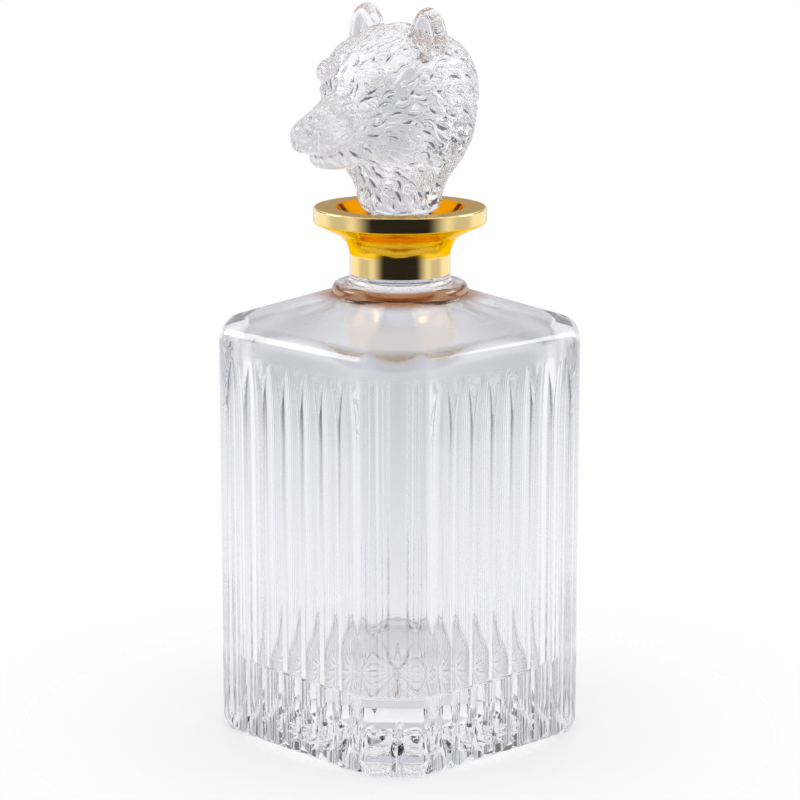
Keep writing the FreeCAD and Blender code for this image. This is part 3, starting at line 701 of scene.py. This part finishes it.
def glass_bottle(*finishes):
    """One skin of glass: star, foot, walls, shoulder, neck, mouth, bore and hollow, the hollow in a finish
    of its own."""
    rings = list(star_rings()) + list(wall_rings()) + list(turned_rings(neck_outline()))
    rings += list(turned_rings([(BORE_RADIUS, LEDGE)]))
    mouth = len(rings)
    rings += list(hollow_rings())
    bm = bmesh.new()
    # A layer for the painted shade at the flutes' tips
    shade = bm.verts.layers.float.new(PAINTED_EDGE_SHADE)
    bmesh.ops.create_circle(bm, segments=COLUMNS, radius=BORE_RADIUS)
    bm.verts.ensure_lookup_table()
    column = bm.verts.layers.int.new("column")
    for number, vert in enumerate(bm.verts):
        vert[column] = number
        vert.co = rings[0][number]
    first, loop = list(bm.verts), list(bm.edges)
    for number, ring in enumerate(rings[1:], start=1):
        grown = bmesh.ops.extrude_edge_only(bm, edges=loop)["geom"]
        verts = [item for item in grown if isinstance(item, bmesh.types.BMVert)]
        fresh = set(verts)
        loop = [item for item in grown if isinstance(item, bmesh.types.BMEdge) and set(item.verts) <= fresh]
        for vert in verts:
            vert.co = ring[vert[column]]
            vert[shade] = WALL_COLUMNS[vert[column]].painted_edge_shade(vert.co.z) if number < mouth else 0.0
        for item in grown:
            if isinstance(item, bmesh.types.BMFace) and number >= mouth:
                item.material_index = INSIDE
    for ends, height in ((first, STAR_DEPTH), (verts, FLOOR_HEIGHT)):
        edges = {edge for vert in ends for edge in vert.link_edges if edge.is_boundary}
        tip = bmesh.ops.extrude_edge_only(bm, edges=list(edges))["geom"]
        poles = [item for item in tip if isinstance(item, bmesh.types.BMVert)]
        bmesh.ops.pointmerge(bm, verts=poles, merge_co=UP * height)
    bmesh.ops.remove_doubles(bm, verts=bm.verts, dist=MERGE_DISTANCE)
    bmesh.ops.recalc_face_normals(bm, faces=bm.faces)
    piece = new_piece("crystal_bottle", bm, "bottle", "glass_bottle", "bottle_crystal", *finishes)
    even_normals(piece)
    return piece


# Turned pieces


def turned(outline, closed):
    """An outline of radius and height turned about the neck's axis."""
    bm = bmesh.new()
    rank = bm.verts.layers.int.new("rank")
    verts = [bm.verts.new((radius, 0, height)) for radius, height in outline]
    for number, vert in enumerate(verts):
        vert[rank] = number
    pairs = list(zip(verts, verts[1:]))
    if closed:
        pairs.append((verts[-1], verts[0]))
    edges = [bm.edges.new(pair) for pair in pairs]
    bmesh.ops.spin(
        bm, geom=verts + edges, cent=(0, 0, 0), axis=UP, angle=2 * math.pi, steps=TURN_STEPS, use_merge=True
    )
    bmesh.ops.remove_doubles(bm, verts=bm.verts, dist=MERGE_DISTANCE)
    bmesh.ops.recalc_face_normals(bm, faces=bm.faces)
    return bm


SATIN, COVE, FUNNEL, INNER_SIDE = 1, 2, 3, 4
TOP_FACING, UNDER_FACING = 0.99, -0.12


def gold_collar(*finishes):
    """The gold on the lip: mirror bright, with a satin top, a cove and funnel deepened with painted
    reflection, and an inner side painted pale with painted light.
    """
    outside = gilded_outline(0)
    bm = turned(outside + gilded_outline(GOLD_WALL)[::-1], closed=True)
    rank = bm.verts.layers.int["rank"]
    for face in bm.faces:
        if min(vert[rank] for vert in face.verts) >= len(outside):
            face.material_index = INNER_SIDE
        elif face.normal.z > TOP_FACING:
            face.material_index = SATIN
        elif face.normal.z < UNDER_FACING:
            face.material_index = COVE
        elif face.calc_center_median().xy.dot(face.normal.xy) < 0:
            face.material_index = FUNNEL
    piece = new_piece("gold_lip", bm, "bottle", "gold_collar", "gold", *finishes)
    even_normals(piece)
    return piece


def stopper_peg(material):
    """The ground peg under the head: collar, stem and the bead that keeps the sleeve on."""
    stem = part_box("stopper_peg")[1].x
    shank = BORE_RADIUS - SHANK_INSET
    tip = BORE_RADIUS - TIP_INSET
    tip_top = SLEEVE_FOOT - FIT_GAP
    stem_top = HEAD_FOOT - SPIGOT_GAP
    outline = [
        (0, PEG_FOOT),
        (tip - TIP_ROUND, PEG_FOOT),
        (tip - TIP_MIDDLE * TIP_ROUND, PEG_FOOT + TIP_MIDDLE * TIP_ROUND),
        (tip, PEG_FOOT + TIP_ROUND),
        (tip, tip_top),
        (shank, tip_top),
        (shank, SLEEVE_TOP),
        (stem, SLEEVE_TOP),
        (stem, stem_top - STEM_EDGE),
        (stem - STEM_EDGE, stem_top),
        (0, stem_top),
    ]
    bm = turned(outline, closed=False)
    return new_piece("ground_peg", bm, "stopper", "stopper_peg", "peg_crystal", material)


def seal_sleeve(material):
    """The ribbed sleeve that grips the bore."""
    inner = BORE_RADIUS - SLEEVE_INSET
    crest = BORE_RADIUS - FIT_GAP
    root = crest - RIB_HEIGHT
    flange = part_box("seal_sleeve")[1].x
    outline = [(inner, SLEEVE_TOP), (inner, SLEEVE_FOOT), (root, SLEEVE_FOOT)]
    for rib in range(RIBS):
        for share, radius in zip(RIB_SHARES, (root, crest, crest, root)):
            outline.append((radius, SLEEVE_FOOT + (LEDGE - SLEEVE_FOOT) * (rib + share) / RIBS))
    outline += [(root, LEDGE), (flange, LEDGE), (flange, SLEEVE_TOP)]
    bm = turned(outline, closed=True)
    return new_piece("ribbed_sleeve", bm, "seal", "seal_sleeve", "seal_polymer", material)


# The bear's head

HEAD_VOXEL = 0.43 * MM
HEAD_MERGE = 0.005 * MM
NOSE_TIP = Vector((0, -43 * MM, HEAD_FOOT + 28 * MM))
MUZZLE_START = -21 * MM
MUZZLE_LENGTH = 22 * MM
MUZZLE_ROUNDS = 7
SOCKET_RADIUS = 6.3 * MM
SOCKET_DEPTH = 11.3 * MM
MUZZLE = 1

# The strokes between the curls, lengths and widths in millimetres
STROKE_DEPTH = 0.5 * MM
STROKE_LENGTH, STROKE_SHORTENING = 6.5, 2.5
STROKE_WIDTH, STROKE_NARROWING = 1.1, 0.4
STROKE_LENGTH_SPREAD = (0.75, 1.25)
STROKE_BOWS = (0.5, 1.3)
STROKE_TAPER = 0.6
STROKE_FADE = 0.6
STROKE_RISES = (0.05, 0.9)
STROKE_END = 0.8
STROKE_SPACING = (0.9, 2.3)
STROKE_CELL = 6 * MM
NECK_FALL = (0.2, 1.6)
NECK_FALL_START = 25 * MM
NECK_FALL_LENGTH = 30 * MM
SWAY = 0.7
SWAY_SIZE = 11 * MM
SAME_SIDE = 0.2
PLAIN_FOOT = 0.6 * MM
SPREAD_ROUNDS = 8
SOFT_SHARE = 0.5
SOFT_ROUNDS = 3
STROKE_REACH = 0.6
NEIGHBOURS = [(x, y, z) for x in (-1, 0, 1) for y in (-1, 0, 1) for z in (-1, 0, 1)]


def smooth(bm, verts):
    """One round of smoothing along all three axes."""
    bmesh.ops.smooth_vert(
        bm, verts=verts, factor=SOFT_SHARE, use_axis_x=True, use_axis_y=True, use_axis_z=True
    )


def head_form():
    """The CAD head with its socket closed, as one even skin."""
    bm = bmesh.new()
    bm.from_mesh(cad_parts["bear_head"].data)
    bmesh.ops.remove_doubles(bm, verts=bm.verts, dist=HEAD_MERGE)
    inside = [
        face
        for face in bm.faces
        if all(
            math.hypot(vert.co.x, vert.co.y) < SOCKET_RADIUS and vert.co.z < HEAD_FOOT + SOCKET_DEPTH
            for vert in face.verts
        )
    ]
    bmesh.ops.delete(bm, geom=inside, context="FACES")
    bmesh.ops.holes_fill(bm, edges=[edge for edge in bm.edges if edge.is_boundary])
    bmesh.ops.triangulate(bm, faces=bm.faces)
    mesh = bpy.data.meshes.new("head_form")
    bm.to_mesh(mesh)
    bm.free()
    form = bpy.data.objects.new("head_form", mesh)
    bpy.context.scene.collection.objects.link(form)
    remesh = form.modifiers.new("even_skin", "REMESH")
    remesh.mode = "VOXEL"
    remesh.voxel_size = HEAD_VOXEL
    soft = form.modifiers.new("soft_joins", "SMOOTH")
    soft.factor = SOFT_SHARE
    soft.iterations = SOFT_ROUNDS
    evaluated = form.evaluated_get(bpy.context.evaluated_depsgraph_get())
    skin = bpy.data.meshes.new_from_object(evaluated)
    bpy.data.objects.remove(form)
    bm = bmesh.new()
    bm.from_mesh(skin)
    for _ in range(MUZZLE_ROUNDS):
        smooth(bm, [vert for vert in bm.verts if vert.co.y < MUZZLE_START])
    bm.to_mesh(skin)
    bm.free()
    return skin


class Strokes:
    """Remembers where strokes lie, so that they keep apart."""

    def __init__(self):
        self.cells = {}

    def room(self, spot, flow, side, length, width):
        """Takes a place for a stroke if no other lies too near."""
        home = tuple(int(math.floor(value / STROKE_CELL)) for value in spot)
        for shift in NEIGHBOURS:
            for other in self.cells.get(tuple(a + b for a, b in zip(home, shift)), ()):
                gap = other - spot
                along = gap.dot(flow) / (length * STROKE_SPACING[0])
                across = gap.dot(side) / (width * STROKE_SPACING[1])
                if along * along + across * across < 1:
                    return False
        self.cells.setdefault(home, []).append(spot)
        return True


def stroke_direction(spot, normal):
    """Strokes lie back from the nose, fall down the neck, and sway."""
    low = 1 - (spot.z - HEAD_FOOT) / (HEAD_TOP - HEAD_FOOT)
    behind = min(max((spot.y + NECK_FALL_START) / NECK_FALL_LENGTH, 0), 1)
    least, gain = NECK_FALL
    flow = (spot - NOSE_TIP).normalized() - UP * (least + gain * low**2) * behind
    flow = (flow - normal * flow.dot(normal)).normalized()
    sway = SWAY * noise.noise(spot / SWAY_SIZE)
    return Matrix.Rotation(sway, 3, normal) @ flow


def engrave(points, normals):
    """Depths of the fine strokes between the curls: short bowed grooves, finest on the muzzle."""
    draw = random.Random(7)
    depths = np.zeros(len(points))
    tree = kdtree.KDTree(len(points))
    for index, point in enumerate(points):
        tree.insert(point, index)
    tree.balance()
    order = list(range(len(points)))
    draw.shuffle(order)
    standing = Strokes()
    for index in order:
        spot, normal = Vector(points[index]), Vector(normals[index])
        rise = (spot.z - HEAD_FOOT) / (HEAD_TOP - HEAD_FOOT)
        ahead = min(max(0.0, (MUZZLE_START - spot.y) / MUZZLE_LENGTH), 1)
        if rise < STROKE_RISES[0] or rise > STROKE_RISES[1] or ahead > STROKE_END:
            continue
        length = (STROKE_LENGTH - STROKE_SHORTENING * ahead) * MM * draw.uniform(*STROKE_LENGTH_SPREAD)
        width = (STROKE_WIDTH - STROKE_NARROWING * ahead) * MM
        flow = stroke_direction(spot, normal)
        side = normal.cross(flow)
        if not standing.room(spot, flow, side, length, width):
            continue
        bend = draw.choice((-1, 1)) * draw.uniform(*STROKE_BOWS) * width
        found = [hit[1] for hit in tree.find_range(spot, length * STROKE_REACH)]
        offset = points[found] - np.array(spot)
        along = offset @ np.array(flow) / length + 0.5
        share = np.clip(along, 0, 1)
        across = offset @ np.array(side) - bend * np.sin(share * math.pi)
        half = width * np.power(np.sin(np.pi * share), STROKE_TAPER) / 2 + 1e-9
        inside = (along > 0) & (along < 1) & (np.abs(across) < half)
        inside &= normals[found] @ np.array(normal) > SAME_SIDE
        depth = np.where(inside, 1 - (across / half) ** 2, 0) * STROKE_DEPTH * (1 - STROKE_FADE * ahead)
        depths[found] = np.maximum(depths[found], depth)
    return depths


def mesh_vectors(mesh):
    """Places and normals of a mesh's points, a row each."""
    points, normals = np.zeros(len(mesh.vertices) * 3), np.zeros(len(mesh.vertices) * 3)
    mesh.vertices.foreach_get("co", points)
    mesh.vertices.foreach_get("normal", normals)
    return points.reshape(-1, 3), normals.reshape(-1, 3)


def bear_head(*finishes):
    """The head: an even skin of the CAD form, curls and all, with fine strokes between the curls."""
    skin = head_form()
    points, normals = mesh_vectors(skin)
    depths = engrave(points, normals)
    depths[points[:, 2] < HEAD_FOOT + PLAIN_FOOT] = 0
    skin.vertices.foreach_set("co", (points - normals * depths[:, None]).ravel())
    bm = bmesh.new()
    bm.from_mesh(skin)
    bpy.data.meshes.remove(skin)
    smooth(bm, bm.verts)
    bmesh.ops.recalc_face_normals(bm, faces=bm.faces)
    for face in bm.faces:
        if face.calc_center_median().y < MUZZLE_BORDER:
            face.material_index = MUZZLE
    piece = new_piece(
        "carved_head", bm, "stopper", "bear_head", "head_crystal", *finishes, crease=FUR_CREASE_ANGLE
    )
    # The groove depths that place the painted shade in the head's crystal
    layer = piece.data.attributes.new(GROOVE_DEPTHS, "FLOAT", "POINT")
    layer.data.foreach_set("value", groove_depths(piece.data))
    return piece


def groove_depths(mesh):
    """How far each point lies under the mean of the skin round it."""
    points, normals = mesh_vectors(mesh)
    ends = np.zeros(len(mesh.edges) * 2, dtype=np.int32)
    mesh.edges.foreach_get("vertices", ends)
    first, second = ends[::2], ends[1::2]
    links = np.bincount(ends, minlength=len(points))
    even = points
    for _ in range(SPREAD_ROUNDS):
        even = np.stack(
            [
                np.bincount(first, axis[second], len(points)) + np.bincount(second, axis[first], len(points))
                for axis in even.T
            ],
            axis=1,
        )
        even /= links[:, None]
    return ((even - points) * normals).sum(axis=1)


# The studio


def outward(azimuth, elevation):
    """The direction of an azimuth round from -Y towards +X and an elevation, in degrees."""
    around, up = math.radians(azimuth), math.radians(elevation)
    return Vector((math.sin(around) * math.cos(up), -math.cos(around) * math.cos(up), math.sin(up)))


def camera():
    """The camera that took the photograph."""
    data = bpy.data.cameras.new("camera")
    data.lens = CAMERA_LENS
    data.sensor_width = SENSOR_WIDTH
    back = outward(CAMERA_AZIMUTH, CAMERA_ELEVATION)
    item = bpy.data.objects.new("camera", data)
    item.location = CAMERA_AIM + back * CAMERA_DISTANCE
    item.rotation_euler = back.to_track_quat("Z", "Y").to_euler()
    bpy.context.scene.collection.objects.link(item)
    bpy.context.scene.camera = item


FLOOR_SIZE = 3
FLOOR_GAP = 0.05 * MM
UNDER_ALPHA, SHADOW_ALPHA = 0.12, 0.48
FOOT_EDGES = (0.044, 0.056)
FADE_EDGES = (0.06, 0.19)
SOFTBOX_TURN = 105
SOFTBOX_ELEVATION = 27
SOFTBOX_DISTANCE = 0.9
SOFTBOX_SIZE = (0.36, 0.28)
SOFTBOX_POWER = 1.6


def floor():
    """A white floor that fades out into the white round it, and keeps the shadow round the foot."""
    bm = bmesh.new()
    bmesh.ops.create_grid(bm, x_segments=1, y_segments=1, size=FLOOR_SIZE)
    mesh = bpy.data.meshes.new("floor")
    bm.to_mesh(mesh)
    bm.free()
    item = bpy.data.objects.new("floor", mesh)
    item.location.z = -FLOOR_GAP
    bpy.context.scene.collection.objects.link(item)
    finish = Finish("floor")
    finish.set(Base_Color=(1.0, 1.0, 1.0, 1), Roughness=0.9, Specular_IOR_Level=0.0)
    distance = finish.add("ShaderNodeVectorMath", operation="LENGTH")
    finish.link(finish.place, distance.inputs[0])
    under = finish.ranged(distance.outputs["Value"], UNDER_ALPHA, SHADOW_ALPHA, *FOOT_EDGES)
    fade = finish.ranged(distance.outputs["Value"], 1, 0, *FADE_EDGES)
    cover = finish.add("ShaderNodeMath", operation="MULTIPLY")
    finish.link(under, cover.inputs[0])
    finish.link(fade, cover.inputs[1])
    finish.link(cover.outputs["Value"], finish.shader.inputs["Alpha"])
    mesh.materials.append(finish.material)
    item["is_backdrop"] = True


def softbox(name, azimuth):
    """A lamp for the gleams on glass and gold, which leaves the floor's light even."""
    data = bpy.data.lights.new(name, "AREA")
    data.shape = "RECTANGLE"
    data.size, data.size_y = SOFTBOX_SIZE
    data.energy = SOFTBOX_POWER
    out = outward(azimuth, SOFTBOX_ELEVATION)
    item = bpy.data.objects.new(name, data)
    item.location = CAMERA_AIM + out * SOFTBOX_DISTANCE
    item.rotation_euler = out.to_track_quat("Z", "Y").to_euler()
    item.visible_diffuse = False
    item.visible_transmission = False
    item.visible_camera = False
    bpy.context.scene.collection.objects.link(item)


class Sky:
    """The studio's light as a function of direction, built from small sums of nodes."""

    def __init__(self):
        self.world = bpy.data.worlds.new("studio")
        bpy.context.scene.world = self.world
        self.world.use_nodes = True
        self.nodes, self.links = self.world.node_tree.nodes, self.world.node_tree.links
        split = self.nodes.new("ShaderNodeSeparateXYZ")
        direction = self.nodes.new("ShaderNodeTexCoord").outputs["Generated"]
        self.links.new(direction, split.inputs["Vector"])
        across, ahead, self.rise = split.outputs
        self.azimuth = self.sum("ARCTAN2", across, self.sum("MULTIPLY", ahead, -1))
        self.path = self.nodes.new("ShaderNodeLightPath").outputs

    def feed(self, value, socket):
        if isinstance(value, (int, float)):
            socket.default_value = value
        else:
            self.links.new(value, socket)

    def sum(self, operation, *values):
        """One arithmetic node on sockets or numbers."""
        node = self.nodes.new("ShaderNodeMath")
        node.operation = operation
        for value, socket in zip(values, node.inputs):
            self.feed(value, socket)
        return node.outputs["Value"]

    def ramp(self, value, low, high, start=0.0, end=1.0):
        """Runs smoothly from start to end while a value goes from low to high."""
        node = self.nodes.new("ShaderNodeMapRange")
        node.interpolation_type = "SMOOTHSTEP"
        for name, setting in (("From Min", low), ("From Max", high), ("To Min", start), ("To Max", end)):
            node.inputs[name].default_value = setting
        self.links.new(value, node.inputs["Value"])
        return node.outputs["Result"]

    def beside(self, azimuth, period=360.0):
        """Degrees between a ray and an azimuth, either way round, repeating with a period."""
        half = math.radians(period / 2)
        offset = self.sum("SUBTRACT", self.azimuth, math.radians(azimuth))
        turned_back = self.sum("WRAP", offset, half, -half)
        return self.sum("MULTIPLY", self.sum("ABSOLUTE", turned_back), math.degrees(1))

    def mix(self, factor, first, second):
        """A colour between two, as a socket."""
        node = self.nodes.new("ShaderNodeMix")
        node.data_type = "RGBA"
        self.feed(factor, node.inputs["Factor"])
        for value, socket in ((first, node.inputs[MIX_FIRST]), (second, node.inputs[MIX_SECOND])):
            if isinstance(value, tuple):
                socket.default_value = value
            else:
                self.links.new(value, socket)
        return node.outputs[MIX_RESULT]


GLASS_BOUNCES = 24
GLOSS_BOUNCES = 12
PAPER_WHITE = (1.0, 1.0, 1.0, 1)
LAVENDER_WALL = (0.64, 0.64, 0.68, 1)
DARK_STRIP = (0.10, 0.10, 0.12, 1)
DARK_ROOM = (0.02, 0.02, 0.025, 1)
CORNER_TURN = 90
WALL_EDGES = (8, 28)
SWEEP_EDGES = (-0.30, -0.18)
STRIP_SIDES = (18, 26)
STRIP_FOOT, STRIP_HEAD = (0.16, 0.21), (0.34, 0.41)
ROOM_EDGES = (36, 74)
ROOM_FOOT, ROOM_HEAD = (0.03, 0.10), (0.70, 0.80)


def studio():
    """White paper round the object. Glass and gloss see a white sweep that rises into white walls, with
    lavender shade straight behind each corner, dark strips between them, a white ceiling, and a dark
    room on the camera's side."""
    sky = Sky()
    aside = sky.beside(CAMERA_AZIMUTH, CORNER_TURN)
    walls = sky.mix(sky.ramp(aside, *WALL_EDGES), LAVENDER_WALL, PAPER_WHITE)
    lower = sky.mix(sky.ramp(sky.rise, *SWEEP_EDGES), PAPER_WHITE, walls)
    tone = sky.mix(sky.ramp(sky.rise, *STRIP_HEAD), lower, PAPER_WHITE)
    strip = sky.sum("MULTIPLY", sky.ramp(sky.rise, *STRIP_FOOT), sky.ramp(sky.rise, *STRIP_HEAD, 1, 0))
    tone = sky.mix(sky.sum("MULTIPLY", strip, sky.ramp(aside, *STRIP_SIDES)), tone, DARK_STRIP)
    room = sky.ramp(sky.beside(CAMERA_AZIMUTH), *ROOM_EDGES, 1, 0)
    window = sky.sum("MULTIPLY", sky.ramp(sky.rise, *ROOM_FOOT), sky.ramp(sky.rise, *ROOM_HEAD, 1, 0))
    in_glass = sky.mix(sky.sum("MULTIPLY", room, window), tone, DARK_ROOM)
    in_gloss = sky.mix(room, tone, DARK_ROOM)
    seen = sky.mix(sky.path["Is Glossy Ray"], PAPER_WHITE, in_gloss)
    seen = sky.mix(sky.path["Is Transmission Ray"], seen, in_glass)
    background = sky.nodes["Background"]
    sky.links.new(seen, background.inputs["Color"])
    background.inputs["Strength"].default_value = 1.0


# The decanter in its studio

camera()
floor()
studio()
softbox("left_softbox", CAMERA_AZIMUTH - SOFTBOX_TURN)
softbox("right_softbox", CAMERA_AZIMUTH + SOFTBOX_TURN)
glass_bottle(bottle_crystal(), hollow_crystal())
gold_collar(
    mirror_gold(),
    satin_gold(),
    gold_with_painted_reflection("cove_gold", COVE_GOLD_AND_PAINTED_REFLECTION, COVE_EDGE_TINT),
    gold_with_painted_reflection("funnel_gold", FUNNEL_GOLD_AND_PAINTED_REFLECTION, FUNNEL_EDGE_TINT),
    under_gold_painted_light(),
)
stopper_peg(peg_crystal())
seal_sleeve(seal_polymer())
bear_head(head_crystal("head_crystal"), head_crystal("muzzle_crystal", MUZZLE_CLEARNESS))

scene = bpy.context.scene
scene.view_settings.view_transform = "Standard"
scene.cycles.max_bounces = GLASS_BOUNCES
scene.cycles.transmission_bounces = GLASS_BOUNCES
scene.cycles.glossy_bounces = GLOSS_BOUNCES

boxes = {"cad": CAD_BOX, "visual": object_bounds()}
{name: [list(map(float, corner)) for corner in box] for name, box in boxes.items()}
